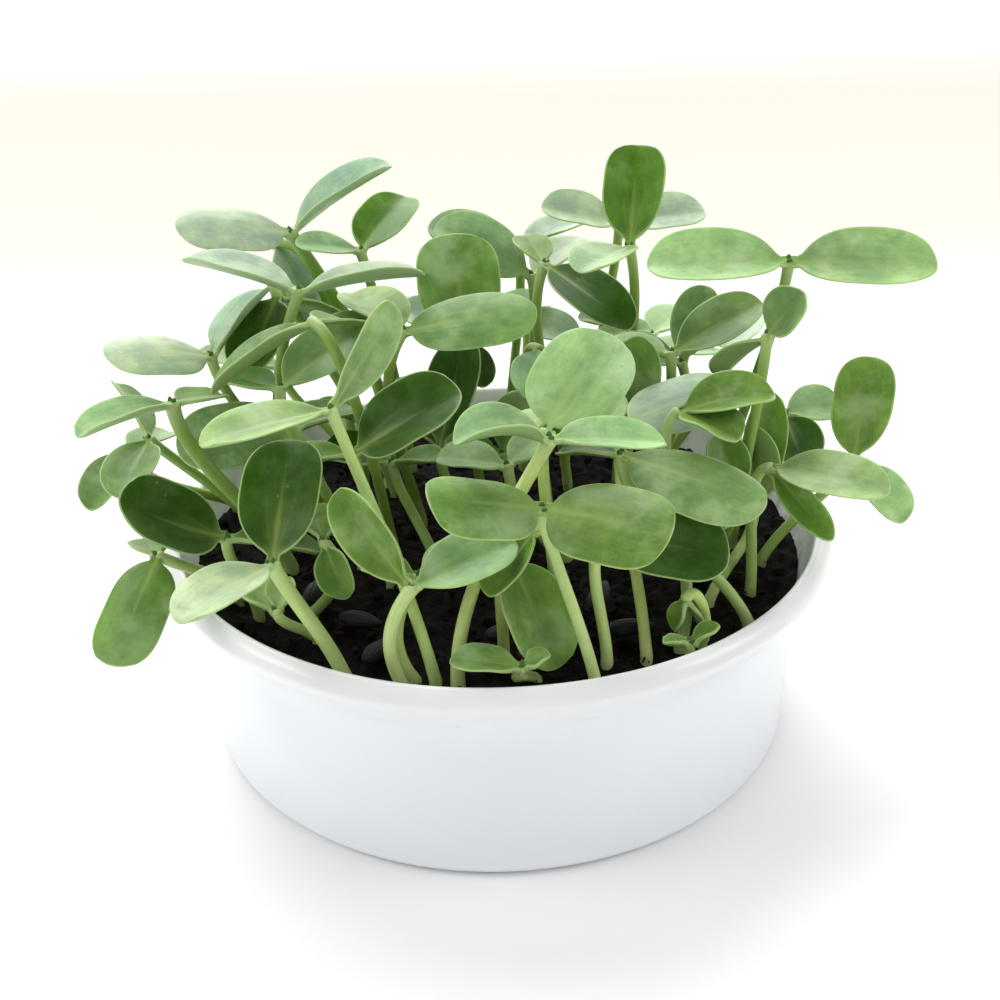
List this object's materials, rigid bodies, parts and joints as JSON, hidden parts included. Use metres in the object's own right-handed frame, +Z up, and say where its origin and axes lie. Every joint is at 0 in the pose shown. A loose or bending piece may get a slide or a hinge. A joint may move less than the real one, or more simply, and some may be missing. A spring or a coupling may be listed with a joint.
{
  "type": "bowl of sunflower microgreens",
  "caption": "Round milky plastic bowl with a flared lip, filled with dark soil and crowded with sunflower seedlings, each a pale stem with a pair of oval seed leaves.",
  "frame": {"origin": "centre of the bowl's flat underside, on the surface it stands on", "axes": "+Z up along the bowl's axis, +Y away from the side that faces the viewer, +X to the viewer's right"},
  "size_m": [0.212, 0.2019, 0.1369],
  "materials": {
    "milky_plastic": "satin, slightly see-through milky white",
    "soil": "moist, crumbly, almost black",
    "leaf_green": "soft satin leaf green with paler margins and stems",
    "seed_hull": "matte black with faint grey stripes"
  },
  "bodies": {
    "root": {"bowl": "milky_plastic", "seed_hull_1": "seed_hull", "seed_hull_2": "seed_hull", "seed_hull_3": "seed_hull", "seed_hull_4": "seed_hull", "seedling_01": "leaf_green", "seedling_02": "leaf_green", "seedling_03": "leaf_green", "seedling_04": "leaf_green", "seedling_05": "leaf_green", "seedling_06": "leaf_green", "seedling_07": "leaf_green", "seedling_08": "leaf_green", "seedling_09": "leaf_green", "seedling_10": "leaf_green", "seedling_11": "leaf_green", "seedling_12": "leaf_green", "seedling_13": "leaf_green", "seedling_14": "leaf_green", "seedling_15": "leaf_green", "seedling_16": "leaf_green", "seedling_17": "leaf_green", "seedling_18": "leaf_green", "seedling_19": "leaf_green", "seedling_20": "leaf_green", "seedling_21": "leaf_green", "seedling_22": "leaf_green", "seedling_23": "leaf_green", "seedling_24": "leaf_green", "seedling_25": "leaf_green", "seedling_26": "leaf_green", "seedling_27": "leaf_green", "seedling_28": "leaf_green", "seedling_29": "leaf_green", "seedling_30": "leaf_green", "seedling_31": "leaf_green", "seedling_32": "leaf_green", "seedling_33": "leaf_green", "seedling_34": "leaf_green", "seedling_35": "leaf_green", "seedling_36": "leaf_green", "seedling_37": "leaf_green", "seedling_38": "leaf_green", "seedling_39": "leaf_green", "seedling_40": "leaf_green", "seedling_41": "leaf_green", "seedling_42": "leaf_green", "seedling_43": "leaf_green", "seedling_44": "leaf_green", "seedling_45": "leaf_green", "seedling_46": "leaf_green", "seedling_47": "leaf_green", "seedling_48": "leaf_green", "seedling_49": "leaf_green", "seedling_50": "leaf_green", "seedling_51": "leaf_green", "seedling_52": "leaf_green", "soil": "soil"}
  },
  "joints": []
}
